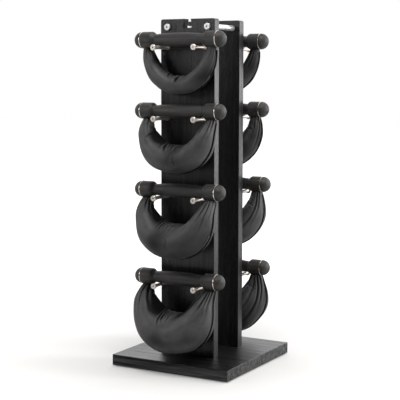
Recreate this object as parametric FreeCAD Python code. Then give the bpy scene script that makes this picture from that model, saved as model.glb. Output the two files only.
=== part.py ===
import FreeCAD, Part
import math
import os

# A floor-standing storage tower for hand weights. A square base plate carries two upright boards, tied
# together at the top by steel spacer rods. Pairs of turned steel pegs on the outer faces hold eight
# weights, four in front (-Y) and four behind (+Y), numbered from the top down. Each weight is a turned
# wooden handle with a leather pouch of shot slung under it.
# Millimetres. Origin: centre of the footprint, on the floor. +Z is up and the front board faces -Y.

Vec = FreeCAD.Vector
X_AXIS = Vec(1, 0, 0)
Y_AXIS = Vec(0, 1, 0)
Z_AXIS = Vec(0, 0, 1)

# Rack
GLIDE_R, GLIDE_H = 15.0, 3.0
GLIDE_X, GLIDE_Y = 165.0, 170.0
BASE_W, BASE_D, BASE_T = 380.0, 390.0, 32.0
BASE_TOP = GLIDE_H + BASE_T
TOWER_TOP = 1003.0
BOARD_W, BOARD_T = 176.0, 26.0
FACE_Y = 88.0                           # outer face of each board, from the middle of the tower
CORNER_R = 6.0                          # top corners of the boards
WOOD_EASE = 1.2                         # rounding along every wooden edge
NOTCH_MOUTH, NOTCH_FLOOR, NOTCH_DEPTH = 21.0, 31.0, 26.0

SPACER_X, SPACER_Z, SPACER_R = 65.0, 980.5, 8.0
BOLT_R, BOLT_THREAD = 4.0, 16.0
BOLT_HEAD_R, BOLT_HEAD_H, HEX_FLATS = 10.0, 4.5, 6.0

BOARD_SCREW_X = 55.0                    # two screws and two dowels under each board
SCREW_R, SCREW_HEAD_R, SCREW_LENGTH = 3.5, 7.0, 75.0
DOWEL_X, DOWEL_R, DOWEL_LENGTH = 28.0, 5.0, 40.0

# Pegs: one pair per weight
PEG_X, PEG_LENGTH = 65.0, 82.0
PEG_ROOT_R, PEG_WAIST_R, PEG_WAIST_AT = 6.5, 4.5, 42.0
PEG_HEAD_R, PEG_HEAD_T = 8.5, 5.0
PEG_DIMPLE_R, PEG_DIMPLE_DEPTH = 2.4, 2.0
STUD_R, STUD_IN_PEG, STUD_IN_BOARD = 3.0, 18.0, 20.0
PEG_Z = (921.5, 721.5, 496.5, 243.5)    # rows from the top down

# Handle, along X
GRIP_MID_R, GRIP_END_R, GRIP_END_X = 20.0, 16.0, 76.0
END_R, END_X = 23.3, 120.5              # the cylinders at the handle's ends, and its end faces
SHOULDER_X = 90.0
GROOVE_X, GROOVE_DEPTH = 92.5, 0.6
RING_R, RING_T = 23.6, 2.4
ROD_R, ROD_CLEARANCE, ROD_END_X = 3.0, 0.08, 134.0
SEAT_GAP = 0.4                          # air between grip and peg
SEAT = {                                # handle axis to board face, for each row
    "front": (42.0, 42.0, 44.0, 45.0),
    "back": (44.0, 50.0, 65.0, 65.0),
}

# Pouch: a filled tube bent into a U under the handle. Depths are measured down from the handle's axis.
NECK_X, NECK_HALF_X, NECK_HALF_Y, NECK_DEPTH = 105.0, 12.0, 11.0, 13.0
TAB_HALF_X, TAB_HALF_Y, SLIT_CLEARANCE = 10.5, 5.6, 0.25
POUCH_DROP = (112.0, 121.0, 128.5, 137.0)      # neck to the middle of the tube at its lowest
POUCH_HALF_HEIGHT = (28.5, 41.0, 50.0, 60.0)   # of the tube at its lowest
POUCH_HALF_DEPTH = (36.0, 60.0, 69.0, 75.0)
POUCH_SQUARENESS = (0.97, 0.92, 0.86, 0.85)    # exponent on the U's width: smaller is squarer
POUCH_ROUNDNESS = 0.87                         # exponent on the U's drop
LEAN_DEPTH = 65.0                              # a pouch has swung fully clear of the board at this depth
BOARD_GAP = 1.0                                # pouch to board face
LEATHER_T = 2.6
SECTION_COUNT, SECTION_POINTS = 15, 16
CAVITY_REACH, SHOT_REACH = 62.0, 50.0          # degrees each side of the lowest point
SHOT_GAP = 0.3
SHOT_KG = (2.0, 4.0, 6.0, 8.0)                 # for each row
IRON_KG_PER_MM3 = 7.2e-6


def box(x0, x1, y0, y1, z0, z1):
    return Part.makeBox(x1 - x0, y1 - y0, z1 - z0, Vec(x0, y0, z0))


def cylinder(radius, start, end):
    """A cylinder between two points."""
    along = end - start
    return Part.makeCylinder(radius, along.Length, start, along)


def revolved(points_and_arcs, axis):
    """Turn a closed profile, given as (x, r) points with "arc" before each arc's middle point."""
    edges = []
    here = points_and_arcs[0]
    rest = list(points_and_arcs[1:]) + [here]
    while rest:
        step = rest.pop(0)
        if step == "arc":
            middle, end = rest.pop(0), rest.pop(0)
            edges.append(Part.Arc(Vec(*here, 0), Vec(*middle, 0), Vec(*end, 0)).toShape())
        else:
            end = step
            edges.append(Part.makeLine(Vec(*here, 0), Vec(*end, 0)))
        here = end
    solid = Part.Face(Part.Wire(edges)).revolve(Vec(0, 0, 0), X_AXIS, 360)
    if axis is Y_AXIS:
        solid.rotate(Vec(0, 0, 0), Z_AXIS, 90)
    return solid


def placed(shape, position, turn=0.0):
    """A copy turned about Z, in degrees, and then moved."""
    copy = shape.copy()
    copy.rotate(Vec(0, 0, 0), Z_AXIS, turn)
    copy.translate(position)
    return copy


def both_ends(shape):
    """A shape at the handle's +X end, and its mirror image at the other."""
    return [shape, shape.mirror(Vec(0, 0, 0), X_AXIS)]


def board_feet():
    """Centre of each board's thickness, in Y."""
    middle = FACE_Y - BOARD_T / 2
    return (-middle, middle)


# ---- rack ----

def felt_glides():
    return [cylinder(GLIDE_R, Vec(x, y, 0), Vec(x, y, GLIDE_H))
            for x in (-GLIDE_X, GLIDE_X) for y in (-GLIDE_Y, GLIDE_Y)]


def screw_at(x, y):
    """Countersunk screw, driven up through the base plate; its head is flush underneath."""
    head_h = SCREW_HEAD_R - SCREW_R
    head = Part.makeCone(SCREW_HEAD_R, SCREW_R, head_h, Vec(x, y, GLIDE_H))
    shank = cylinder(SCREW_R, Vec(x, y, GLIDE_H + head_h), Vec(x, y, GLIDE_H + SCREW_LENGTH))
    return head.fuse(shank).removeSplitter()


def base_screws():
    return [screw_at(x, y) for x in (-BOARD_SCREW_X, BOARD_SCREW_X) for y in board_feet()]


def base_dowels():
    low, high = BASE_TOP - DOWEL_LENGTH / 2, BASE_TOP + DOWEL_LENGTH / 2
    return [cylinder(DOWEL_R, Vec(x, y, low), Vec(x, y, high))
            for x in (-DOWEL_X, DOWEL_X) for y in board_feet()]


def base_plate():
    plate = box(-BASE_W / 2, BASE_W / 2, -BASE_D / 2, BASE_D / 2, GLIDE_H, BASE_TOP)
    plate = plate.makeFillet(WOOD_EASE, plate.Edges)
    return plate.cut(base_screws() + base_dowels())


def dovetail_notch():
    """Prism that cuts the notch through the middle of the front board's top edge."""
    floor_z, top_z = TOWER_TOP - NOTCH_DEPTH, TOWER_TOP + 1.0
    outline = [(-NOTCH_FLOOR / 2, floor_z), (NOTCH_FLOOR / 2, floor_z),
               (NOTCH_MOUTH / 2, TOWER_TOP), (NOTCH_MOUTH / 2, top_z),
               (-NOTCH_MOUTH / 2, top_z), (-NOTCH_MOUTH / 2, TOWER_TOP)]
    corners = [Vec(x, -FACE_Y - 1.0, z) for x, z in outline]
    face = Part.Face(Part.makePolygon(corners + corners[:1]))
    return face.extrude(Vec(0, BOARD_T + 2.0, 0))


def front_board_blank():
    """The front board, notched and drilled for its bolts and studs, before the base's screws."""
    board = box(-BOARD_W / 2, BOARD_W / 2, -FACE_Y, -FACE_Y + BOARD_T, BASE_TOP, TOWER_TOP)
    top_corners = [e for e in board.Edges
                   if e.BoundBox.ZMin > TOWER_TOP - 1.0 and e.BoundBox.XLength < 1.0]
    board = board.makeFillet(CORNER_R, top_corners)
    rims = [e for e in board.Edges if e.BoundBox.YLength < 1.0 and e.BoundBox.ZMax > BASE_TOP + 1.0]
    board = board.makeFillet(WOOD_EASE, rims)
    return board.cut([dovetail_notch()] + front_bolt_shanks() + front_studs())


def front_board():
    return front_board_blank().cut(base_screws() + base_dowels())


def back_board():
    return placed(front_board_blank(), Vec(0, 0, 0), 180).cut(base_screws() + base_dowels())


def front_bolt_shanks():
    return [cylinder(BOLT_R, Vec(x, -FACE_Y, SPACER_Z), Vec(x, -FACE_Y + BOARD_T, SPACER_Z))
            for x in (-SPACER_X, SPACER_X)]


def spacer_rods():
    """Rods between the boards, bored at both ends for the bolts' threads."""
    inner = FACE_Y - BOARD_T
    rods = []
    for x in (-SPACER_X, SPACER_X):
        rod = cylinder(SPACER_R, Vec(x, -inner, SPACER_Z), Vec(x, inner, SPACER_Z))
        for side in (-1, 1):
            mouth = Vec(x, side * inner, SPACER_Z)
            bottom = Vec(x, side * (inner - BOLT_THREAD), SPACER_Z)
            rod = rod.cut(cylinder(BOLT_R, mouth, bottom))
        rods.append(rod)
    return rods


def spacer_bolt():
    """Button-head bolt with a hex socket. Its head stands on the plane y = 0 and its shank runs to +Y."""
    rim = 2.0
    inside_rim = rim * 0.29
    head = revolved([(0, 0), (0, BOLT_HEAD_R), (-BOLT_HEAD_H + rim, BOLT_HEAD_R), "arc",
                     (-BOLT_HEAD_H + inside_rim, BOLT_HEAD_R - inside_rim),
                     (-BOLT_HEAD_H, BOLT_HEAD_R - rim), (-BOLT_HEAD_H, 0)], Y_AXIS)
    corner_r = HEX_FLATS / math.sqrt(3)
    corners = []
    for degrees in range(0, 361, 60):
        turn = math.radians(degrees)
        corners.append(Vec(corner_r * math.cos(turn), -BOLT_HEAD_H - 1.0, corner_r * math.sin(turn)))
    socket = Part.Face(Part.makePolygon(corners)).extrude(Vec(0, 4.0, 0))
    shank = cylinder(BOLT_R, Vec(0, 0, 0), Vec(0, BOARD_T + BOLT_THREAD, 0))
    return head.cut(socket).fuse(shank).removeSplitter()


def spacer_bolts():
    bolt = spacer_bolt()
    return [placed(bolt, Vec(x, side * FACE_Y, SPACER_Z), 0 if side < 0 else 180)
            for x in (-SPACER_X, SPACER_X) for side in (-1, 1)]


# ---- pegs ----

def peg_radius(distance):
    """Radius of a peg's waist at a distance from the board face; an arc around its thinnest point."""
    arc_r = PEG_WAIST_AT ** 2 / (2 * (PEG_ROOT_R - PEG_WAIST_R))
    return PEG_WAIST_R + (distance - PEG_WAIST_AT) ** 2 / (2 * arc_r)


def front_peg():
    """A peg whose root is on the plane y = 0, standing out to -Y."""
    head_at = PEG_LENGTH - PEG_HEAD_T
    blend = 1.5
    profile = [(0, 0), (0, PEG_ROOT_R), "arc", (-PEG_WAIST_AT, PEG_WAIST_R),
               (-head_at + blend, peg_radius(head_at - blend)), (-head_at, PEG_HEAD_R - 0.8),
               (-head_at - 0.8, PEG_HEAD_R), (-PEG_LENGTH + 1.0, PEG_HEAD_R),
               (-PEG_LENGTH, PEG_HEAD_R - 1.0), (-PEG_LENGTH, PEG_DIMPLE_R),
               (-PEG_LENGTH + PEG_DIMPLE_DEPTH, 0)]
    peg = revolved(profile, Y_AXIS)
    return peg.cut(cylinder(STUD_R, Vec(0, 0, 0), Vec(0, -STUD_IN_PEG, 0)))


def peg_places():
    return [Vec(x, -FACE_Y, z) for z in PEG_Z for x in (-PEG_X, PEG_X)]


def front_pegs():
    return [placed(front_peg(), place) for place in peg_places()]


def back_pegs():
    return [placed(peg, Vec(0, 0, 0), 180) for peg in front_pegs()]


def front_studs():
    return [cylinder(STUD_R, place + Vec(0, -STUD_IN_PEG, 0), place + Vec(0, STUD_IN_BOARD, 0))
            for place in peg_places()]


def peg_studs():
    return front_studs() + [placed(stud, Vec(0, 0, 0), 180) for stud in front_studs()]


# ---- handle: every part is made about the handle's own axis, and moved to its row last ----

def grip_radius(x):
    """Close to the barrel's radius at x. The grip's own outline is an arc through the same three points."""
    return GRIP_MID_R - (GRIP_MID_R - GRIP_END_R) * (x / GRIP_END_X) ** 2


def slit():
    """Slot in the underside of the +X end that takes the pouch's leather tab, closed above the tie rod."""
    half_y = TAB_HALF_Y + SLIT_CLEARANCE
    x0, x1 = NECK_X - TAB_HALF_X - SLIT_CLEARANCE, NECK_X + TAB_HALF_X + SLIT_CLEARANCE
    slot = box(x0, x1, -half_y, half_y, -END_R - 2.0, 0)
    return slot.fuse(cylinder(half_y, Vec(x0, 0, 0), Vec(x1, 0, 0))).removeSplitter()


def handle():
    right = [(GRIP_END_X + 3.0, GRIP_END_R + 0.9), (SHOULDER_X - 4.5, END_R - 1.4), "arc",
             (SHOULDER_X - 2.6, END_R - 0.35), (SHOULDER_X, END_R), (GROOVE_X - GROOVE_DEPTH, END_R),
             (GROOVE_X, END_R - GROOVE_DEPTH), (GROOVE_X + GROOVE_DEPTH, END_R), (END_X - 0.5, END_R),
             (END_X, END_R - 0.5), (END_X, 0)]
    left = [(-x, r) for x, r in (p for p in reversed(right) if p != "arc")]
    left.insert(7, "arc")
    profile = left + [(-GRIP_END_X, GRIP_END_R), "arc", (0, GRIP_MID_R), (GRIP_END_X, GRIP_END_R)] + right
    wood = revolved(profile, X_AXIS)
    bore = cylinder(ROD_R + ROD_CLEARANCE, Vec(-END_X, 0, 0), Vec(END_X, 0, 0))
    return wood.cut([bore] + both_ends(slit()))


def end_rings():
    ease = 0.5
    ring = revolved([(END_X, ROD_R + ROD_CLEARANCE), (END_X, RING_R - ease), (END_X + ease, RING_R),
                     (END_X + RING_T - ease, RING_R), (END_X + RING_T, RING_R - ease),
                     (END_X + RING_T, ROD_R + ROD_CLEARANCE)], X_AXIS)
    return both_ends(ring)


def end_caps():
    """Hemispherical caps, bored blind for the ends of the tie rod."""
    face_x = END_X + RING_T
    tip = face_x + END_R
    middle = (face_x + END_R * math.sin(math.pi / 4), END_R * math.cos(math.pi / 4))
    dome = revolved([(face_x, 0), (face_x, END_R), "arc", middle, (tip, 0)], X_AXIS)
    socket = cylinder(ROD_R + ROD_CLEARANCE, Vec(face_x - 1.0, 0, 0), Vec(ROD_END_X + 2.0, 0, 0))
    return both_ends(dome.cut(socket))


def tie_rod():
    return [cylinder(ROD_R, Vec(-ROD_END_X, 0, 0), Vec(ROD_END_X, 0, 0))]


# ---- pouch ----

def lean(depth, full_lean):
    """How far out from the handle's axis the pouch's middle hangs, at a depth below it."""
    share = min(max((depth - NECK_DEPTH) / (LEAN_DEPTH - NECK_DEPTH), 0.0), 1.0)
    return full_lean * share * share * (3 - 2 * share)


def centre_line(row, angle):
    """Point (x, depth) on the U for an angle in degrees: 0 at the lowest point, 90 at a neck."""
    t = math.radians(angle)
    x = math.copysign(NECK_X * abs(math.sin(t)) ** POUCH_SQUARENESS[row], t)
    return x, NECK_DEPTH + POUCH_DROP[row] * max(math.cos(t), 0.0) ** POUCH_ROUNDNESS


def pouch_section(row, angle, full_lean, inset, scale):
    """Closed oval across the tube, square to its centre line. It is inset by a wall thickness, then scaled
    about its point on the outside of the bend."""
    step = 0.5
    x, depth = centre_line(row, angle)
    x0, depth0 = centre_line(row, max(angle - step, -90.0))
    x1, depth1 = centre_line(row, min(angle + step, 90.0))
    length = math.hypot(x1 - x0, depth1 - depth0)
    out_x, out_depth = -(depth1 - depth0) / length, (x1 - x0) / length
    fullness = max(math.cos(math.radians(angle)), 0.0)
    half_height = NECK_HALF_X + (POUCH_HALF_HEIGHT[row] - NECK_HALF_X) * fullness - inset
    half_depth = NECK_HALF_Y + (POUCH_HALF_DEPTH[row] - NECK_HALF_Y) * fullness - inset
    offset = lean(depth, full_lean)
    points = []
    for k in range(SECTION_POINTS):
        turn = 2 * math.pi * k / SECTION_POINTS
        across = half_height * (1 - scale + scale * math.cos(turn))
        y = -offset + scale * half_depth * math.sin(turn)
        points.append(Vec(x + out_x * across, y, -(depth + out_depth * across)))
    curve = Part.BSplineCurve()
    curve.interpolate(Points=points, PeriodicFlag=True)
    return Part.Wire(curve.toShape())


def pouch_tube(row, full_lean, inset, reach, scale=1.0):
    """The bent tube between two angles either side of its lowest point."""
    angles = [-reach + 2 * reach * k / (SECTION_COUNT - 1) for k in range(SECTION_COUNT)]
    return Part.makeLoft([pouch_section(row, a, full_lean, inset, scale) for a in angles], True, False)


def leather_tab():
    """Strap end in the +X slit, with an eyelet around the tie rod."""
    x0, x1 = NECK_X - TAB_HALF_X, NECK_X + TAB_HALF_X
    strap = box(x0, x1, -TAB_HALF_Y, TAB_HALF_Y, -END_R - 3.0, 0)
    strap = strap.fuse(cylinder(TAB_HALF_Y, Vec(x0, 0, 0), Vec(x1, 0, 0)))
    return strap.cut(cylinder(ROD_R + ROD_CLEARANCE, Vec(x0 - 1.0, 0, 0), Vec(x1 + 1.0, 0, 0)))


def pouch(row, full_lean):
    """Leather shell: the tube, hollow where the shot lies, cut back round the handle, with its two tabs."""
    tube = pouch_tube(row, full_lean, 0.0, 90.0)
    handle_room = cylinder(END_R + 0.1, Vec(-END_X, 0, 0), Vec(END_X, 0, 0))
    tube = tube.cut(handle_room)
    for tab in both_ends(leather_tab()):
        tube = tube.fuse(tab)
    return tube.removeSplitter().cut(pouch_tube(row, full_lean, LEATHER_T, CAVITY_REACH))


def shot(row, full_lean):
    """The pouch's load as one iron bar of the loose shot's mass, lying along the bottom of the pouch. A few
    rounds of scaling bring the bar to that mass."""
    wanted = SHOT_KG[row] / IRON_KG_PER_MM3
    scale = 1.0
    for _ in range(4):
        bar = pouch_tube(row, full_lean, LEATHER_T + SHOT_GAP, SHOT_REACH, scale)
        scale *= math.sqrt(wanted / bar.Volume)
    return bar


def handle_height(row, seat):
    """Height of the handle's axis above the floor, resting on its pegs."""
    return PEG_Z[row] + peg_radius(seat) + grip_radius(PEG_X) + SEAT_GAP


def weight_parts(side, row):
    """Every part of one weight, in place."""
    seat = SEAT[side][row]
    full_lean = max(POUCH_HALF_DEPTH[row] + BOARD_GAP - seat, 0.0)
    parts = {
        "handle": [handle()],
        "end_caps": end_caps(),
        "end_rings": end_rings(),
        "tie_rod": tie_rod(),
        "pouch": [pouch(row, full_lean)],
        "shot": [shot(row, full_lean)],
    }
    y = -(FACE_Y + seat) if side == "front" else FACE_Y + seat
    turn = 0 if side == "front" else 180
    place = Vec(0, y, handle_height(row, seat))
    return {name: [placed(s, place, turn) for s in solids] for name, solids in parts.items()}


def all_nodes():
    nodes = {
        "base_plate": [base_plate()],
        "front_board": [front_board()],
        "back_board": [back_board()],
        "spacer_rods": spacer_rods(),
        "spacer_bolts": spacer_bolts(),
        "front_pegs": front_pegs(),
        "back_pegs": back_pegs(),
        "peg_studs": peg_studs(),
        "base_screws": base_screws(),
        "base_dowels": base_dowels(),
        "felt_glides": felt_glides(),
    }
    for side in ("front", "back"):
        for row in range(len(PEG_Z)):
            for name, solids in weight_parts(side, row).items():
                nodes[f"{side}_{row + 1}_{name}"] = solids
    return nodes


def main():
    os.makedirs("parts", exist_ok=True)
    for node, solids in all_nodes().items():
        shape = solids[0] if len(solids) == 1 else Part.makeCompound(solids)
        shape.exportStep(f"parts/{node}.step")
        volume = sum(s.Volume for s in shape.Solids) / 1000
        print(f"{node}: {len(shape.Solids)} solids, {volume:.1f} cm3, valid {shape.isValid()}")


main()
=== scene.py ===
import math
import random

import bpy
import numpy as np
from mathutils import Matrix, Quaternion, Vector


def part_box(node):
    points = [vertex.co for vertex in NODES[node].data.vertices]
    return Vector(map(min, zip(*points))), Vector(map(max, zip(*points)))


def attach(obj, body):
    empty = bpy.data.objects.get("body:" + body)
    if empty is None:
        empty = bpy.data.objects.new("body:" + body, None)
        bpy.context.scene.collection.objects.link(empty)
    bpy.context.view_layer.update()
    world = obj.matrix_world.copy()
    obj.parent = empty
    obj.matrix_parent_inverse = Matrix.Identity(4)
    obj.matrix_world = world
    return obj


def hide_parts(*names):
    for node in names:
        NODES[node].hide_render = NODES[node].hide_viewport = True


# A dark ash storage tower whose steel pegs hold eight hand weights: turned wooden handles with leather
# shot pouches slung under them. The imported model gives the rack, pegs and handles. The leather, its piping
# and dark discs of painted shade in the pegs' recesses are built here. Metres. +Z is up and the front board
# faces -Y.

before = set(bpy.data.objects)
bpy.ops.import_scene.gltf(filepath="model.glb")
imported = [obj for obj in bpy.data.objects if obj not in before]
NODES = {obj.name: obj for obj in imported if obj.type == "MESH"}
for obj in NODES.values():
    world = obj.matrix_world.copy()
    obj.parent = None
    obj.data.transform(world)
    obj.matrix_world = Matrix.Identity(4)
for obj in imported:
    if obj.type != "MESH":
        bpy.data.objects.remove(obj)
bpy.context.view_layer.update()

SIDES = {"front": -1.0, "back": 1.0}
ROWS = (1, 2, 3, 4)

# The pouch's tube, by row: the U's drop, the tube's half height and half depth at its lowest, and how
# square the U is. NECK sizes are where it gathers under the handle. Depths are below the handle's axis.
DROP = (0.112, 0.121, 0.1285, 0.137)
HALF_HEIGHT = (0.0285, 0.041, 0.050, 0.060)
HALF_DEPTH = (0.036, 0.060, 0.069, 0.075)
SQUARENESS = (0.97, 0.92, 0.86, 0.85)
ROUNDNESS = 0.87
NECK_X, NECK_HALF_X, NECK_HALF_Y, NECK_DEPTH = 0.105, 0.012, 0.011, 0.013
LEAN_DEPTH = 0.065
BOARD_GAP, BOARD_CLEARANCE = 0.001, 0.0006  # from belly to board: in the lean, and at the very least
HANDLE_R = 0.0237  # the leather stays outside this radius round the handle's axis
# The inner edge falls from each neck to the middle as depth ~ |x| ** bow, one bow for each side (-X, +X).
# It dips by KINK at the middle, where the leather creases.
INNER_BOW = ((1.85, 1.95), (2.0, 2.1), (1.95, 2.0), (1.35, 1.45))
INNER_KINK = (0.007, 0.001, 0.001, 0.006)
SWELL = {"back_4": 0.007, "back_3": 0.002}  # how far the outer seam stands out halfway up the arms
HOLLOW = (0.0065, 0.008, 0.010, 0.012)  # how far the arms' inner faces sink between their two ridges
WAVE_HEIGHT = 0.00030
TUBE_SPOKES, TUBE_RINGS = 192, 280
CLOTH_SPOKES, CLOTH_RINGS = 84, 110
SEAM_DEPTH, SEAM_WIDTH = 0.0022, 0.0042  # the groove that the piping lies in
PIPING_R, PIPING_OUT = 0.0021, 0.0004
# Rings of a strap end from the pouch upwards: depth, half width and half thickness, and how round it is.
STRAP_ENDS = ((0.0075, 0.0098, 0.0048), (0.0150, 0.0102, 0.0052), (0.0215, 0.0102, 0.0052))
STRAP_ROUNDNESS = 0.7
# Painted shade on the leather: the fold depth that takes plain leather to painted black, and how much of the
# cloth run, of the hollow and of the arms' inner faces counts towards that painted shade.
PAINTED_BLACK_DEPTH, CLOTH_SHADE, HOLLOW_SHADE, ARM_SHADE = 0.002, 0.15, 0.3, 0.0014
# The cloth run: frames, how many times full size, how much of the leather is spare, how far that reaches
# from the necks, the furthest that a point may move, and how much of the broad swelling is left out.
CLOTH_FRAMES, CLOTH_SCALE = 20, 10.0
SPARE, SPARE_NECK_REACH = 0.30, 0.080
CLOTH_CAP, CLOTH_CALM = 0.005, 0.95
GROUP_STEPS = 20
FLOOR_HALF = 14.0
# The peg eyes are painted shade: dark discs set just inside each peg head's recess.
EYE_RADIUS, EYE_TOP, EYE_BOTTOM = 0.0019, 0.0004, 0.0006  # peg eyes, and how far inside the head they lie


# ---- shader helpers ----

def new_material(name):
    material = bpy.data.materials.new(name)
    material.use_nodes = True
    tree = material.node_tree
    return material, tree, tree.nodes["Principled BSDF"]


def add(tree, kind, inputs=None, **settings):
    """A new node with its settings, and each input given a value or linked to another node's socket."""
    node = tree.nodes.new(kind)
    for key, value in settings.items():
        setattr(node, key, value)
    for key, value in (inputs or {}).items():
        socket = node.inputs[key]
        if isinstance(value, bpy.types.NodeSocket):
            tree.links.new(value, socket)
        else:
            socket.default_value = value
    return node


def coordinates(tree, scale=(1, 1, 1), rotation=(0, 0, 0), location=(0, 0, 0)):
    source = add(tree, "ShaderNodeTexCoord").outputs["Object"]
    mapping = add(tree, "ShaderNodeMapping", {"Vector": source, "Scale": scale, "Location": location,
                                              "Rotation": [math.radians(a) for a in rotation]})
    return mapping.outputs["Vector"]


def noise(tree, vector, scale, detail=3.0, roughness=0.5, distortion=0.0):
    node = add(tree, "ShaderNodeTexNoise", {"Vector": vector, "Scale": scale, "Detail": detail,
                                            "Roughness": roughness, "Distortion": distortion})
    return node.outputs["Fac"]


def ramp(tree, value, stops):
    """Colour ramp through (position, grey or colour) stops."""
    node = add(tree, "ShaderNodeValToRGB", {"Fac": value})
    elements = node.color_ramp.elements
    while len(elements) < len(stops):
        elements.new(0.5)
    for element, (position, colour) in zip(elements, stops):
        element.position = position
        grey = isinstance(colour, (int, float))
        element.color = (colour, colour, colour, 1) if grey else (*colour, 1)
    return node.outputs["Color"]


def mixed(tree, factor, first, second, mode="MIX"):
    """Mix of two colours; factor, first and second may each be a value or a socket."""
    node = add(tree, "ShaderNodeMix", data_type="RGBA", blend_type=mode)
    for index, value in ((0, factor), (6, first), (7, second)):
        if isinstance(value, bpy.types.NodeSocket):
            tree.links.new(value, node.inputs[index])
        else:
            node.inputs[index].default_value = value
    return node.outputs[2]


def math_node(tree, operation, first, second=0.0):
    node = add(tree, "ShaderNodeMath", operation=operation)
    for index, value in enumerate((first, second)):
        if isinstance(value, bpy.types.NodeSocket):
            tree.links.new(value, node.inputs[index])
        else:
            node.inputs[index].default_value = value
    return node.outputs[0]


def bumped(tree, layers):
    """Chained bump nodes, from (height socket, strength, distance) layers."""
    normal = None
    for height, strength, distance in layers:
        node = add(tree, "ShaderNodeBump", {"Height": height, "Strength": strength, "Distance": distance})
        if normal is not None:
            tree.links.new(normal, node.inputs["Normal"])
        normal = node.outputs["Normal"]
    return normal


# ---- materials ----

def wood(name, grain_axis, dark, light, ring_size, worn=None, shine=0.34, relief=0.1):
    """Stained, open-grained wood, with its pores along grain_axis and its growth rings as soft figures."""
    material, tree, shader = new_material(name)
    stretch = [1.0, 1.0, 1.0]
    stretch[grain_axis] = 0.035
    tilt = [0.0, 0.0, 0.0]
    tilt[(grain_axis + 1) % 3] = 2.2
    offset = [0.23, 0.31, 0.17]
    offset[grain_axis] = 0.0
    warp = noise(tree, coordinates(tree, [1, 1, 1]), 3.0, 2.0)
    rings = add(tree, "ShaderNodeTexWave",
                {"Vector": coordinates(tree, rotation=tilt, location=offset), "Scale": 0.314 / ring_size,
                 "Distortion": 5.0, "Detail": 3.0, "Detail Scale": 0.6},
                wave_type="RINGS", rings_direction="XYZ"[grain_axis], wave_profile="SAW").outputs["Fac"]
    fibres = noise(tree, coordinates(tree, stretch), 900.0, 4.0, 0.65)
    pores = ramp(tree, noise(tree, coordinates(tree, stretch, location=(3, 1, 2)), 1700.0, 2.0, 0.5),
                 ((0.36, 0.0), (0.50, 1.0)))
    streaks = noise(tree, coordinates(tree, stretch, location=(1, 2, 3)), 110.0, 4.0, 0.6, 0.4)
    figure = math_node(tree, "ADD", math_node(tree, "MULTIPLY", rings, 0.16), fibres)
    figure = math_node(tree, "ADD", figure, math_node(tree, "MULTIPLY", warp, 0.25))
    colour = ramp(tree, figure, ((0.45, dark), (0.95, light)))
    colour = mixed(tree, 0.55, colour, pores, "MULTIPLY")
    if worn is not None:
        patches = ramp(tree, noise(tree, coordinates(tree, (0.35, 1, 1)), 38.0, 3.0, 0.6),
                       ((0.50, 0.0), (0.72, 1.0)))
        colour = mixed(tree, patches, colour, (*worn, 1))
    tree.links.new(colour, shader.inputs["Base Color"])
    rough = add(tree, "ShaderNodeMapRange",
                {"Value": fibres, "To Min": shine - 0.08, "To Max": shine + 0.14})
    tree.links.new(rough.outputs["Result"], shader.inputs["Roughness"])
    normal = bumped(tree, ((pores, 0.30, 0.0003), (fibres, 0.22, 0.0004), (streaks, relief, 0.004)))
    tree.links.new(normal, shader.inputs["Normal"])
    gloss = add(tree, "ShaderNodeMapRange", {"Value": streaks, "From Min": 0.35, "From Max": 0.65,
                                             "To Min": 0.45 - relief, "To Max": 0.45 + relief})
    tree.links.new(gloss.outputs["Result"], shader.inputs["Specular IOR Level"])
    return material


def leather(name, dark, light, shine):
    """Soft black leather: pebbled grain, faint mottling, and the fold attribute's painted shade and
    highlight.
    """
    material, tree, shader = new_material(name)
    plain = coordinates(tree)
    mottle = noise(tree, plain, 45.0, 4.0, 0.6)
    fold = add(tree, "ShaderNodeAttribute", attribute_name="fold").outputs["Fac"]
    colour = ramp(tree, mottle, ((0.30, dark), (0.75, light)))
    # Painted shade and highlight: the fold attribute darkens the colour to 0.08 in folds, hollows and the
    # arms' inner faces, and brightens it up to 1.45 times on ridges.
    shade = ramp(tree, fold, ((0.0, 0.08), (0.5, 1.0), (1.0, 1.45)))
    colour = mixed(tree, 1.0, colour, shade, "MULTIPLY")
    tree.links.new(colour, shader.inputs["Base Color"])
    pebbles = add(tree, "ShaderNodeTexVoronoi", {"Vector": plain, "Scale": 620.0, "Randomness": 1.0},
                  feature="DISTANCE_TO_EDGE").outputs["Distance"]
    pebble_height = ramp(tree, pebbles, ((0.0, 0.0), (0.22, 1.0)))
    fine = noise(tree, plain, 1500.0, 2.0)
    creases = noise(tree, coordinates(tree, (1, 1, 0.6)), 130.0, 5.0, 0.62, 0.8)
    rough = add(tree, "ShaderNodeMapRange",
                {"Value": mottle, "To Min": shine - 0.06, "To Max": shine + 0.10})
    tree.links.new(rough.outputs["Result"], shader.inputs["Roughness"])
    # Painted shade on the reflection: the fold attribute also lowers the specular level in folds and
    # hollows.
    gloss = add(tree, "ShaderNodeMapRange", {"Value": fold, "From Min": 0.0, "From Max": 0.5,
                                             "To Min": 0.12, "To Max": 0.50})
    tree.links.new(gloss.outputs["Result"], shader.inputs["Specular IOR Level"])
    normal = bumped(tree, ((creases, 0.25, 0.0009), (pebble_height, 0.22, 0.00016), (fine, 0.15, 0.0001)))
    tree.links.new(normal, shader.inputs["Normal"])
    return material


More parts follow.
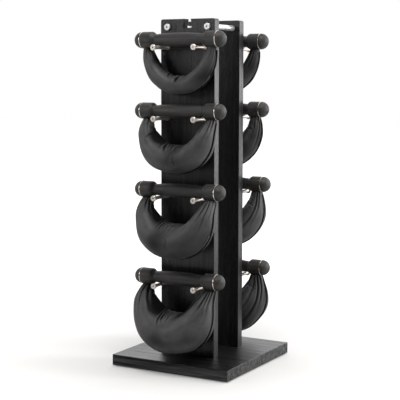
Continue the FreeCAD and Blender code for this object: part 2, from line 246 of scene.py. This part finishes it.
def turned_steel(name, colour, shine, marks_axis, metallic=1.0):
    """Polished steel with faint turning marks round an axis."""
    material, tree, shader = new_material(name)
    stretch = [0.05, 0.05, 0.05]
    stretch[marks_axis] = 1.0
    marks = noise(tree, coordinates(tree, stretch), 2600.0, 3.0)
    smudge = noise(tree, coordinates(tree), 70.0, 3.0)
    tint = ramp(tree, smudge, ((0.25, [c * 0.86 for c in colour]), (0.75, colour)))
    tree.links.new(tint, shader.inputs["Base Color"])
    rough = add(tree, "ShaderNodeMapRange",
                {"Value": smudge, "To Min": shine - 0.05, "To Max": shine + 0.09})
    tree.links.new(rough.outputs["Result"], shader.inputs["Roughness"])
    tree.links.new(bumped(tree, ((marks, 0.20, 0.0001),)), shader.inputs["Normal"])
    shader.inputs["Metallic"].default_value = metallic
    return material


def felt(name):
    material, tree, shader = new_material(name)
    fuzz = noise(tree, coordinates(tree), 900.0, 5.0, 0.7)
    tree.links.new(ramp(tree, fuzz, ((0.3, 0.012), (0.7, 0.035))), shader.inputs["Base Color"])
    tree.links.new(bumped(tree, ((fuzz, 0.8, 0.0006),)), shader.inputs["Normal"])
    shader.inputs["Roughness"].default_value = 0.95
    shader.inputs["Sheen Weight"].default_value = 0.3
    return material


def cast_iron(name):
    material, tree, shader = new_material(name)
    sand = noise(tree, coordinates(tree), 500.0, 4.0, 0.6)
    tree.links.new(ramp(tree, sand, ((0.3, 0.12), (0.7, 0.22))), shader.inputs["Base Color"])
    tree.links.new(bumped(tree, ((sand, 0.5, 0.0005),)), shader.inputs["Normal"])
    shader.inputs["Metallic"].default_value = 1.0
    shader.inputs["Roughness"].default_value = 0.6
    return material


ASH_DARK, ASH_LIGHT = (0.001, 0.001, 0.0011), (0.006, 0.006, 0.006)
BOARD_ASH = wood("board_ash", 2, ASH_DARK, ASH_LIGHT, 0.009, shine=0.27)
BASE_ASH = wood("base_ash", 0, ASH_DARK, ASH_LIGHT, 0.012, relief=0.36)
HANDLE_WOOD = wood("handle_wood", 0, (0.0055, 0.0052, 0.005), (0.030, 0.028, 0.027), 0.006,
                   worn=(0.036, 0.030, 0.026), shine=0.50)
BEECH = wood("dowel_beech", 2, (0.30, 0.19, 0.11), (0.62, 0.45, 0.30), 0.004, shine=0.6)
LEATHER = leather("black_leather", (0.020, 0.0198, 0.0195), (0.042, 0.0415, 0.041), 0.56)
# The piping's mesh has no fold attribute, which reads as 0: it takes the darkest painted shade and the least
# specular all over.
PIPING = leather("piping_leather", (0.020, 0.020, 0.0195), (0.040, 0.0395, 0.039), 0.38)
PEG_STEEL = turned_steel("peg_steel", (0.66, 0.60, 0.55), 0.30, 1, 0.6)
RACK_STEEL = turned_steel("rack_steel", (0.68, 0.68, 0.67), 0.26, 1, 0.7)
RING_METAL = turned_steel("ring_metal", (0.88, 0.80, 0.71), 0.22, 0)
INNER_STEEL = turned_steel("inner_steel", (0.55, 0.55, 0.56), 0.35, 0)
# Near-black steel for the peg eyes, which paint the shade in the pegs' recesses.
PAINTED_SHADE_STEEL = turned_steel("painted_shade_steel", (0.035, 0.033, 0.031), 0.55, 1)

RACK_MATERIALS = {
    "base_plate": BASE_ASH, "front_board": BOARD_ASH, "back_board": BOARD_ASH, "spacer_rods": RACK_STEEL,
    "spacer_bolts": RACK_STEEL, "front_pegs": PEG_STEEL, "back_pegs": PEG_STEEL, "peg_studs": INNER_STEEL,
    "base_screws": INNER_STEEL, "base_dowels": BEECH, "felt_glides": felt("black_felt"),
}
WEIGHT_MATERIALS = {
    "handle": HANDLE_WOOD, "end_caps": HANDLE_WOOD, "end_rings": RING_METAL, "tie_rod": INNER_STEEL,
    "pouch": LEATHER, "shot": cast_iron("iron_shot"),
}


def paint(name, material):
    mesh = NODES[name].data
    mesh.materials.clear()
    mesh.materials.append(material)


def paint_frame():
    for name, material in RACK_MATERIALS.items():
        paint(name, material)
    for side in SIDES:
        for row in ROWS:
            for part, material in WEIGHT_MATERIALS.items():
                paint(f"{side}_{row}_{part}", material)


def mesh_object(name, points, faces, material=None, smooth=False):
    """A mesh of points and faces, as an object in the scene."""
    mesh = bpy.data.meshes.new(name)
    mesh.from_pydata(np.asarray(points).tolist(), [], faces)
    if smooth:
        mesh.polygons.foreach_set("use_smooth", [True] * len(mesh.polygons))
    if material is not None:
        mesh.materials.append(material)
    made = bpy.data.objects.new(name, mesh)
    bpy.context.scene.collection.objects.link(made)
    return made


# ---- pouches ----

class Pouch:
    """One weight's pouch: a leather tube bent into a U, in the handle's own frame, its outside to -Y."""

    def __init__(self, side, row):
        self.name = f"{side}_{row}"
        self.row = row - 1
        self.out = SIDES[side]
        low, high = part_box(f"{self.name}_tie_rod")
        self.axis = (low + high) / 2
        board_low, board_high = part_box(f"{side}_board")
        face = max(abs(board_low.y), abs(board_high.y))
        self.seat = abs(self.axis.y) - face
        self.full_lean = max(HALF_DEPTH[self.row] + BOARD_GAP - self.seat, 0.0)
        self.swell = SWELL.get(self.name, 0.0)
        self.random = random.Random(40 * row + (7 if side == "back" else 0))

    def centre_line(self, turn):
        """x and depth for angles in radians: 0 at the lowest point and a quarter turn at a neck."""
        x = np.sign(turn) * NECK_X * np.abs(np.sin(turn)) ** SQUARENESS[self.row]
        depth = NECK_DEPTH + DROP[self.row] * np.clip(np.cos(turn), 0, None) ** ROUNDNESS
        return x, depth

    def lean(self, depth):
        share = np.clip((depth - NECK_DEPTH) / (LEAN_DEPTH - NECK_DEPTH), 0, 1)
        return self.full_lean * share * share * (3 - 2 * share)

    def rings(self, count):
        """Angles evenly spaced along the centre line from neck to neck, and the distance along it."""
        turn = np.radians(np.linspace(-87.5, 87.5, 1401))
        x, depth = self.centre_line(turn)
        along = np.concatenate([[0], np.cumsum(np.hypot(np.diff(x), np.diff(depth)))])
        places = np.linspace(0, along[-1], count)
        return np.interp(places, along, turn), places

    def inner_reach(self, x, depth, out_x, out_depth, half_height):
        """From the centre line in to the inner edge's own curve, found by halving for every ring."""
        lowest = NECK_DEPTH + DROP[self.row] - HALF_HEIGHT[self.row] + INNER_KINK[self.row]
        neck_x, neck_depth = NECK_X - NECK_HALF_X, NECK_DEPTH + 0.004
        short, long = 0.4 * half_height, 2.4 * half_height
        for _ in range(30):
            reach = (short + long) / 2
            edge_x = x - out_x * reach
            bow = np.where(edge_x < 0, INNER_BOW[self.row][0], INNER_BOW[self.row][1])
            curve = lowest - (lowest - neck_depth) * (np.abs(edge_x) / neck_x) ** bow
            below = depth - out_depth * reach > curve
            short, long = np.where(below, reach, short), np.where(below, long, reach)
        spread = max(len(x) // 28, 1)
        window = np.full(2 * spread + 1, 1 / (2 * spread + 1))
        return np.convolve(np.pad(reach, spread, mode="edge"), window, "valid")

    def surface(self, turn, around):
        """Points of the plain tube, as an array of rings by points around; around 0 is the outer edge."""
        step = math.radians(0.5)
        x, depth = self.centre_line(turn)
        quarter = math.pi / 2
        x0, depth0 = self.centre_line(np.maximum(turn - step, -quarter))
        x1, depth1 = self.centre_line(np.minimum(turn + step, quarter))
        length = np.hypot(x1 - x0, depth1 - depth0)
        out_x, out_depth = -(depth1 - depth0) / length, (x1 - x0) / length
        fullness = np.clip(np.cos(turn), 0, None)
        half_height = NECK_HALF_X + (HALF_HEIGHT[self.row] - NECK_HALF_X) * fullness
        half_depth = NECK_HALF_Y + (HALF_DEPTH[self.row] - NECK_HALF_Y) * fullness
        inner = self.inner_reach(x, depth, out_x, out_depth, half_height)
        half_height = half_height + self.swell * np.exp(-((np.abs(turn) - 1.05) / 0.30) ** 2)
        reach = np.where(np.cos(around)[None, :] > 0, half_height[:, None], inner[:, None])
        across = reach * np.cos(around)[None, :]
        points = np.empty((len(turn), len(around), 3))
        points[..., 0] = x[:, None] + out_x[:, None] * across
        points[..., 1] = -self.lean(depth)[:, None] + half_depth[:, None] * np.sin(around)[None, :]
        points[..., 2] = -(depth[:, None] + out_depth[:, None] * across)
        return points, half_height, half_depth

    def placed(self, points):
        """From the handle's own frame to the rack's: the back weights are turned half round."""
        turned = points * np.array([-self.out, -self.out, 1.0])
        return turned + np.array(self.axis)


def grid_normals(points):
    along = np.gradient(points, axis=0)
    around = (np.roll(points, -1, axis=1) - np.roll(points, 1, axis=1)) / 2
    normal = np.cross(around, along)
    return normal / np.maximum(np.linalg.norm(normal, axis=2, keepdims=True), 1e-12)


def wrapped(angle):
    return (angle + np.pi) % (2 * np.pi) - np.pi


def fold_line(distance, width):
    """Cross-section of one fold: a sharp valley between two soft shoulders."""
    d = np.abs(distance) / width
    return -np.exp(-(d / 0.55) ** 1.3) + 0.42 * np.exp(-((d - 1.35) / 0.75) ** 2)


def neck_pleats(pouch, along, around, size):
    """Folds that fan out of both necks and die away down the arms."""
    total = along[-1]
    height = np.zeros((len(along), len(around)))
    for end in (0, 1):
        distance = along if end == 0 else total - along
        count = 8 + pouch.row
        for k in range(count):
            angle = 2 * math.pi * (k + pouch.random.uniform(-0.36, 0.36)) / count
            reach = pouch.random.uniform(0.030, 0.070) + 0.009 * pouch.row
            if pouch.random.random() < 0.35:
                reach *= 1.6
            depth = pouch.random.uniform(0.0012, 0.0040) * (1 + 0.10 * pouch.row)
            drift = pouch.random.uniform(-2.6, 2.6)
            line = angle + drift * distance
            offset = wrapped(around[None, :] - line[:, None]) * size[:, None]
            width = 0.0013 + 0.040 * distance + 0.0004 * pouch.row
            fade = np.clip(1 - distance / reach, 0, 1) ** 1.1 * np.clip(0.45 + distance / 0.02, 0, 1)
            height += depth * fade[:, None] * fold_line(offset, width[:, None])
    return height


# Creases over the inner edge, by row: place along it from -1 to 1, depth, reach in degrees, and slant.
GATHERS = {
    1: ((0.0, 0.0085, 74, 0.12), (-0.10, 0.0016, 40, 0.5), (-0.26, 0.0022, 46, 0.6),
        (0.22, 0.0014, 40, -0.5)),
    2: ((-0.24, 0.0046, 60, 0.85), (-0.02, 0.0030, 46, 0.45), (-0.10, 0.0018, 36, 0.3),
        (0.12, 0.0020, 40, -0.3), (0.27, 0.0030, 56, -0.8), (-0.38, 0.0022, 44, 0.7)),
    3: ((-0.30, 0.0034, 50, 0.6), (-0.17, 0.0028, 42, 0.35), (-0.06, 0.0022, 38, 0.2),
        (0.05, 0.0030, 44, -0.1), (0.15, 0.0024, 42, -0.3), (0.28, 0.0034, 56, -0.7),
        (-0.42, 0.0028, 50, 0.8), (0.40, 0.0022, 50, -0.9)),
    4: ((-0.34, 0.0075, 66, 0.9), (-0.18, 0.0056, 52, 0.5), (-0.08, 0.0034, 44, 0.3),
        (0.0, 0.0046, 50, 0.1), (0.08, 0.0032, 44, -0.2), (0.17, 0.0048, 58, -0.5),
        (0.30, 0.0044, 66, -0.8), (-0.25, 0.0030, 44, 0.4)),
}


def inner_gathers(pouch, along, around, half_depth):
    """Creases over the inner edge, where the bend crowds the leather: the listed ones and small ones."""
    middle = along[-1] / 2
    height = np.zeros((len(along), len(around)))
    from_edge = wrapped(around - math.pi)
    creases = list(GATHERS[pouch.row + 1])
    for _ in range(8 + 3 * pouch.row):
        place = pouch.random.uniform(-0.5, 0.5)
        depth = pouch.random.uniform(0.0006, 0.0017)
        reach = pouch.random.uniform(30, 66)
        slant = pouch.random.uniform(-0.4, 0.4) - 2.2 * place
        creases.append((place, depth, reach, slant))
    for place, depth, reach, slant in creases:
        line = place * middle + slant * from_edge * half_depth[len(along) // 2] * 0.5
        offset = (along - middle)[:, None] - line[None, :]
        fade = np.clip(1 - np.abs(from_edge) / math.radians(reach), 0, 1) ** 0.9
        width = 0.0026 + 0.0026 * np.abs(from_edge) + 0.55 * depth
        height += depth * fade[None, :] * fold_line(offset, width[None, :])
    return height


def inner_hollow(pouch, turn, around):
    """The inner face of each arm sinks between two ridges, deepest halfway up the arm."""
    from_edge = np.abs(wrapped(around - math.pi))[None, :]
    along_arm = (np.sin(2 * np.abs(turn)) ** 1.5 * 0.85 + 0.15 * np.cos(turn))[:, None]
    across = -np.exp(-(from_edge / 0.75) ** 2) + 0.40 * np.exp(-((from_edge - 1.25) / 0.38) ** 2)
    return HOLLOW[pouch.row] * along_arm * across


def arm_shade(turn, around):
    """1 on the inner face of an arm, where painted shade makes the leather blackest, falling smoothly to 0
    off it.
    """
    from_edge = np.abs(wrapped(around - math.pi))[None, :]
    up_arm = np.abs(turn)[:, None]
    on_face = 1 / (1 + np.exp((from_edge - 1.25) / 0.10))
    on_arm = 1 / (1 + np.exp((0.80 - up_arm) / 0.09))
    return on_face * on_arm


def soft_waves(pouch, points):
    """Low, broad unevenness of filled leather, from a few slow sine waves in space."""
    total = np.zeros(points.shape[:2])
    for _ in range(9):
        direction = np.array([pouch.random.gauss(0, 1) for _ in range(3)])
        direction *= pouch.random.uniform(35, 95) / np.linalg.norm(direction)
        total += np.sin(points @ direction + pouch.random.uniform(0, 6.28))
    return WAVE_HEIGHT * total


def tube_faces(rings, spokes):
    """Quads between the rings of a tube, and a face over each end."""
    faces = []
    last = (rings - 1) * spokes
    for start in range(0, last, spokes):
        for k in range(spokes):
            beside = (k + 1) % spokes
            faces.append((start + k, start + beside, start + spokes + beside, start + spokes + k))
    faces.append(tuple(range(spokes - 1, -1, -1)))
    faces.append(tuple(range(last, last + spokes)))
    return faces


def weighted_group(piece, name, weights):
    """A vertex group from an array of weights, set a step at a time."""
    group = piece.vertex_groups.new(name=name)
    steps = np.round(weights.ravel() * GROUP_STEPS).astype(int)
    for step in range(GROUP_STEPS + 1):
        chosen = np.nonzero(steps == step)[0]
        group.add(chosen.tolist(), step / GROUP_STEPS, "REPLACE")


def slow_part(field, reach):
    """The field's broad changes: its average over nearby rings and spokes."""
    window = np.hanning(2 * reach + 3)[1:-1]
    window /= window.sum()
    around = np.concatenate([field[:, -reach:], field, field[:, :reach]], axis=1)
    around = sum(w * around[:, k:k + field.shape[1]] for k, w in enumerate(window))
    along = np.pad(around, ((reach, reach), (0, 0), (0, 0)), mode="edge")
    return sum(w * along[k:k + len(field)] for k, w in enumerate(window))


def held_weights(rings, spokes):
    """1 at the necks and along the welted seam, where the cloth run keeps the leather still."""
    held = np.zeros((rings, spokes))
    held[:2] = held[-2:] = held[:, 0] = 1.0
    held[:, [1, -1]] = np.maximum(held[:, [1, -1]], 0.6)
    return held


def spare_weights(turn, along, around):
    """Where the cloth run has spare leather: near the necks and along the inside of the bend."""
    neck = np.clip(1 - np.minimum(along, along[-1] - along) / SPARE_NECK_REACH, 0, 1)[:, None]
    off_seam = np.clip(np.abs(wrapped(around)) / math.radians(70), 0, 1)[None, :]
    edge = np.clip(1 - np.abs(wrapped(around - math.pi)) / math.radians(75), 0, 1)[None, :]
    bend = np.clip(np.cos(turn), 0, 1)[:, None]
    return np.maximum(neck * off_seam, 0.6 * edge * bend)


def add_cloth(piece):
    modifier = piece.modifiers.new("cloth", "CLOTH")
    settings = modifier.settings
    settings.quality = 5
    settings.mass = 0.1
    settings.tension_stiffness = 15
    settings.compression_stiffness = 15
    settings.shear_stiffness = 5
    settings.bending_stiffness = 0.1
    settings.use_pressure = True
    settings.uniform_pressure_force = 8
    settings.vertex_group_mass = "held"
    settings.vertex_group_shrink = "spare"
    settings.shrink_min = 0.0
    settings.shrink_max = -SPARE
    settings.effector_weights.gravity = 0.0
    modifier.point_cache.frame_start = 1
    modifier.point_cache.frame_end = CLOTH_FRAMES


def cloth_run(pouch):
    """How far each point of the plain tube moves as filled cloth whose spare leather falls into folds."""
    rings, spokes = CLOTH_RINGS, CLOTH_SPOKES
    turn, along = pouch.rings(rings)
    around = np.linspace(0, 2 * math.pi, spokes, endpoint=False)
    points, _, _ = pouch.surface(turn, around)
    start = points + grid_normals(points) * (2.0 * soft_waves(pouch, points))[..., None]
    piece = mesh_object("cloth", (start * CLOTH_SCALE).reshape(-1, 3), tube_faces(rings, spokes))
    weighted_group(piece, "held", held_weights(rings, spokes))
    weighted_group(piece, "spare", spare_weights(turn, along, around))
    add_cloth(piece)
    for number in range(1, CLOTH_FRAMES + 1):
        bpy.context.scene.frame_set(number)
    evaluated = piece.evaluated_get(bpy.context.evaluated_depsgraph_get())
    settled = np.empty(rings * spokes * 3)
    evaluated.data.vertices.foreach_get("co", settled)
    bpy.data.objects.remove(piece)
    moved = settled.reshape(rings, spokes, 3) / CLOTH_SCALE - points
    moved -= CLOTH_CALM * slow_part(moved, rings // 9)
    length = np.linalg.norm(moved, axis=2, keepdims=True)
    return moved * np.minimum(1.0, CLOTH_CAP / np.maximum(length, 1e-9))


def cubic_between(values, places):
    """Smooth values at fractional places along the first axis."""
    index = np.floor(places).astype(int)
    t = (places - index).reshape(-1, *([1] * (values.ndim - 1)))
    before, here, after, beyond = (values[np.clip(index + k, 0, len(values) - 1)] for k in (-1, 0, 1, 2))
    return here + 0.5 * t * (after - before + t * (2 * before - 5 * here + 4 * after - beyond
                                                   + t * (3 * (here - after) + beyond - before)))


def refined(field, rings, spokes):
    """A coarse field over the tube, carried smoothly to more rings and spokes."""
    along = cubic_between(field, np.linspace(0, len(field) - 1, rings))
    turned = np.concatenate([along[:, -2:], along, along[:, :3]], axis=1).swapaxes(0, 1)
    places = 2 + np.arange(spokes) * field.shape[1] / spokes
    return cubic_between(turned, places).swapaxes(0, 1)


def leather_grid(pouch, moved, around):
    """The pouch's surface as a grid of points, and each point's painted shade: how high it stands among its
    folds, with the cloth run, the hollow and the arms' inner faces added.
    """
    turn, along = pouch.rings(TUBE_RINGS)
    points, half_height, half_depth = pouch.surface(turn, around)
    normals = grid_normals(points)
    size = np.sqrt((half_height ** 2 + half_depth ** 2) / 2)
    height = neck_pleats(pouch, along, around, size) + inner_gathers(pouch, along, around, half_depth)
    height += soft_waves(pouch, points)
    # folds carries painted shade: lower where the leather sinks into folds and hollows and on the arms'
    # inner faces, higher on ridges, which paints a highlight there.
    folds = height.copy()
    if moved is not None:
        settled = refined(moved, TUBE_RINGS, TUBE_SPOKES)
        points = points + settled
        folds += CLOTH_SHADE * np.sum(settled * normals, axis=2)
    hollow = inner_hollow(pouch, turn, around)
    folds += HOLLOW_SHADE * hollow - ARM_SHADE * arm_shade(turn, around)
    height += hollow
    seam = np.abs(wrapped(around))[None, :] * half_height[:, None]
    height -= SEAM_DEPTH * np.exp(-(seam / SEAM_WIDTH) ** 2)
    points = points + normals * height[..., None]
    # clear of the handle's barrel, and flat where the belly rests on the board
    radius = np.hypot(points[..., 1], points[..., 2])
    push = np.where(radius < HANDLE_R, HANDLE_R / np.maximum(radius, 1e-9), 1.0)
    points[..., 1:] *= push[..., None]
    wall = pouch.seat - BOARD_CLEARANCE
    points[..., 1] = np.minimum(points[..., 1], wall)
    return points, folds


def squared(wave):
    return np.sign(wave) * np.abs(wave) ** STRAP_ROUNDNESS


def strap_ring(side, depth, half_x, half_y, around):
    """One rounded rectangle of the strap end that goes up into the handle's slit."""
    ring = np.empty((len(around), 3))
    ring[:, 0] = side * (NECK_X + half_x * squared(np.cos(around)))
    ring[:, 1] = half_y * squared(np.sin(around))
    ring[:, 2] = -depth
    return ring


def build_pouch(pouch, moved):
    """One pouch as a closed mesh, whose strap ends narrow into the slits and stop below the tie rod."""
    around = np.linspace(0, 2 * math.pi, TUBE_SPOKES, endpoint=False)
    points, folds = leather_grid(pouch, moved, around)
    left = [strap_ring(-1, *sizes, around) for sizes in STRAP_ENDS]
    right = [strap_ring(1, *sizes, around) for sizes in reversed(STRAP_ENDS)]
    rings = np.concatenate([left, points, right])
    folds = np.pad(folds, ((len(STRAP_ENDS), len(STRAP_ENDS)), (0, 0)))
    # Painted shade, stored as the fold attribute: 0.5 is plain leather, lower is darker, higher is lighter;
    # the strap ends stay plain.
    shade = np.clip(0.5 + 0.5 * folds.ravel() / PAINTED_BLACK_DEPTH, 0, 1)
    faces = tube_faces(*rings.shape[:2])
    piece = mesh_object(f"{pouch.name}_leather", pouch.placed(rings.reshape(-1, 3)), faces, LEATHER, True)
    attribute = piece.data.attributes.new("fold", "FLOAT", "POINT")
    attribute.data.foreach_set("value", shade.astype(np.float32))
    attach(piece, f"weight_{pouch.name}")
    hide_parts(f"{pouch.name}_pouch")
    build_piping(pouch)


def round_tube(name, path, radius, material, sides=10):
    """A closed round tube along a path of points, in the rack's frame."""
    path = np.asarray(path)
    tangent = np.gradient(path, axis=0)
    tangent /= np.linalg.norm(tangent, axis=1, keepdims=True)
    side = np.cross(tangent, np.array([0.0, 1.0, 0.0]))
    side /= np.linalg.norm(side, axis=1, keepdims=True)
    other = np.cross(side, tangent)
    turn = np.linspace(0, 2 * math.pi, sides, endpoint=False)
    rings = (path[:, None, :] + radius * (np.cos(turn)[None, :, None] * side[:, None, :]
                                          + np.sin(turn)[None, :, None] * other[:, None, :]))
    return mesh_object(name, rings.reshape(-1, 3), tube_faces(len(path), sides), material, True)


def build_piping(pouch):
    """Welted seam that joins the pouch's two halves round its outer edge."""
    turn, _ = pouch.rings(150)
    turn = turn[4:-4]
    points, _, _ = pouch.surface(turn, np.array([0.0]))
    x, depth = pouch.centre_line(turn)
    edge = points[:, 0, :]
    centre = np.stack([x, edge[:, 1], -depth], axis=1)
    outward = edge - centre
    outward /= np.linalg.norm(outward, axis=1, keepdims=True)
    path = pouch.placed(edge + PIPING_OUT * outward)
    piece = round_tube(f"{pouch.name}_piping", path, PIPING_R, PIPING)
    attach(piece, f"weight_{pouch.name}")


def build_row(row):
    """A row's two pouches share one cloth run, mirrored for the back pouch."""
    moved = mirrored = None
    moved = cloth_run(Pouch("front", row))
    mirrored = moved[::-1] * np.array([-1.0, 1.0, 1.0])
    build_pouch(Pouch("front", row), moved)
    build_pouch(Pouch("back", row), mirrored)


# ---- peg heads ----

def peg_heads(side):
    """The centre of each peg's flat end, from the vertices that lie on it."""
    points = np.array([vertex.co for vertex in NODES[f"{side}_pegs"].data.vertices])
    tip = np.abs(points[:, 1]).max()
    groups = []
    for point in points[np.abs(points[:, 1]) > tip - 0.0001]:
        near = [group for group in groups if np.linalg.norm(group[0] - point) < 0.03]
        if near:
            near[0].append(point)
        else:
            groups.append([point])
    return [np.mean(group, axis=0) for group in groups]


def build_painted_peg_shade(side):
    """Painted shade: dark flat discs, just inside the small recess at the middle of each peg's head."""
    turn = np.linspace(0, 2 * math.pi, 20, endpoint=False)
    circle = EYE_RADIUS * np.stack([np.cos(turn), 0 * turn, np.sin(turn)], axis=1)
    vertices, faces = [], []
    for centre in peg_heads(side):
        start = len(vertices)
        for inward in (EYE_TOP, EYE_BOTTOM):
            vertices.extend(centre + circle - [0, SIDES[side] * inward, 0])
        faces.extend(tuple(start + index for index in face) for face in tube_faces(2, len(turn)))
    piece = mesh_object(f"{side}_peg_eyes", np.array(vertices), faces, PAINTED_SHADE_STEEL)
    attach(piece, "root")


# ---- set ----

def build_world():
    """A white sweep behind the object that also lights it, wide soft sides, and a dim room in front."""
    world = bpy.data.worlds.new("studio")
    world.use_nodes = True
    tree = world.node_tree
    direction = add(tree, "ShaderNodeTexCoord").outputs["Generated"]
    parts = add(tree, "ShaderNodeSeparateXYZ", {"Vector": direction})
    sides = math_node(tree, "MULTIPLY", math_node(tree, "ABSOLUTE", parts.outputs["X"]), 0.18)
    behind = math_node(tree, "ADD", parts.outputs["Y"], sides)
    glow = add(tree, "ShaderNodeMapRange",
               {"Value": behind, "From Min": -0.25, "From Max": 0.75, "To Min": 0.06, "To Max": 1.65},
               interpolation_type="SMOOTHSTEP")
    seen = add(tree, "ShaderNodeLightPath").outputs["Is Camera Ray"]
    white = add(tree, "ShaderNodeMix", {"Factor": seen, "A": glow.outputs["Result"], "B": 1.0})
    tree.links.new(white.outputs["Result"], tree.nodes["Background"].inputs["Strength"])
    tree.nodes["Background"].inputs["Color"].default_value = (1.0, 1.0, 1.0, 1)
    bpy.context.scene.world = world


def build_floor():
    """Pale paper that shows near white by a painted glow only the camera sees, weaker near the tower as a
    painted shadow; it throws less light back up than white paper would.
    """
    material, tree, shader = new_material("floor_paper")
    tone = noise(tree, coordinates(tree), 2.0, 2.0)
    seen = add(tree, "ShaderNodeLightPath").outputs["Is Camera Ray"]
    paper = ramp(tree, tone, ((0.3, (0.50, 0.495, 0.485)), (0.7, (0.53, 0.525, 0.515))))
    tree.links.new(mixed(tree, seen, (0.60, 0.60, 0.60, 1), paper), shader.inputs["Base Color"])
    # Painted glow and shadow: the camera-only emission grows with distance from the tower, so the paper
    # round the base shows a painted shadow.
    away = add(tree, "ShaderNodeVectorMath", {0: coordinates(tree)}, operation="LENGTH").outputs["Value"]
    painted_glow = add(tree, "ShaderNodeMapRange", {"Value": away, "From Min": 0.25, "From Max": 1.6,
                                            "To Min": 0.20, "To Max": 0.80}).outputs["Result"]
    shader.inputs["Emission Color"].default_value = (1.0, 0.997, 0.99, 1)
    tree.links.new(math_node(tree, "MULTIPLY", seen, painted_glow), shader.inputs["Emission Strength"])
    shader.inputs["Roughness"].default_value = 0.8
    shader.inputs["Specular IOR Level"].default_value = 0.1
    corners = FLOOR_HALF * np.array([(-1, -1, 0), (1, -1, 0), (1, 1, 0), (-1, 1, 0)])
    mesh_object("floor", corners, [(0, 1, 2, 3)], material)


def area_light(name, position, target, size, power, colour=(1, 1, 1)):
    data = bpy.data.lights.new(name, "AREA")
    data.shape = "RECTANGLE"
    data.size, data.size_y = size
    data.energy = power
    data.color = colour
    light = bpy.data.objects.new(name, data)
    light.location = position
    light.rotation_mode = "QUATERNION"
    light.rotation_quaternion = (Vector(target) - Vector(position)).to_track_quat("-Z", "Y")
    bpy.context.scene.collection.objects.link(light)


def build_set():
    build_floor()
    build_world()
    area_light("front_left_box", (-2.7, -1.9, 1.60), (0.0, 0.0, 0.9), (0.8, 0.9), 26)
    area_light("front_panel", (-1.55, -2.75, 1.75), (0.0, 0.0, 0.95), (1.1, 1.3), 13)
    area_light("overhead", (0.5, -1.0, 3.0), (0.0, 0.0, 0.6), (1.2, 1.0), 56)
    area_light("right_box", (2.6, 0.9, 1.35), (0.0, 0.0, 0.75), (0.7, 2.4), 54)
    area_light("back_right_box", (1.7, 2.8, 1.0), (0.0, 0.0, 0.5), (1.0, 2.0), 22)
    bpy.context.scene.view_settings.view_transform = "Standard"


def build_camera():
    azimuth, drop = math.radians(29.53), math.radians(6.31)
    level = math.cos(drop)
    back = Vector((math.sin(azimuth) * level, -math.cos(azimuth) * level, math.sin(drop)))
    data = bpy.data.cameras.new("camera")
    data.sensor_width = 36.0
    data.lens = 101.6
    camera = bpy.data.objects.new("camera", data)
    camera.location = (1.6208, -2.8752, 0.8446)
    camera.rotation_mode = "QUATERNION"
    roll = Quaternion((0, 0, 1), math.radians(0.11))
    camera.rotation_quaternion = (-back).to_track_quat("-Z", "Y") @ roll
    bpy.context.scene.collection.objects.link(camera)
    bpy.context.scene.camera = camera


build_camera()
build_set()
paint_frame()
for row_number in ROWS:
    build_row(row_number)
for side_name in SIDES:
    build_painted_peg_shade(side_name)
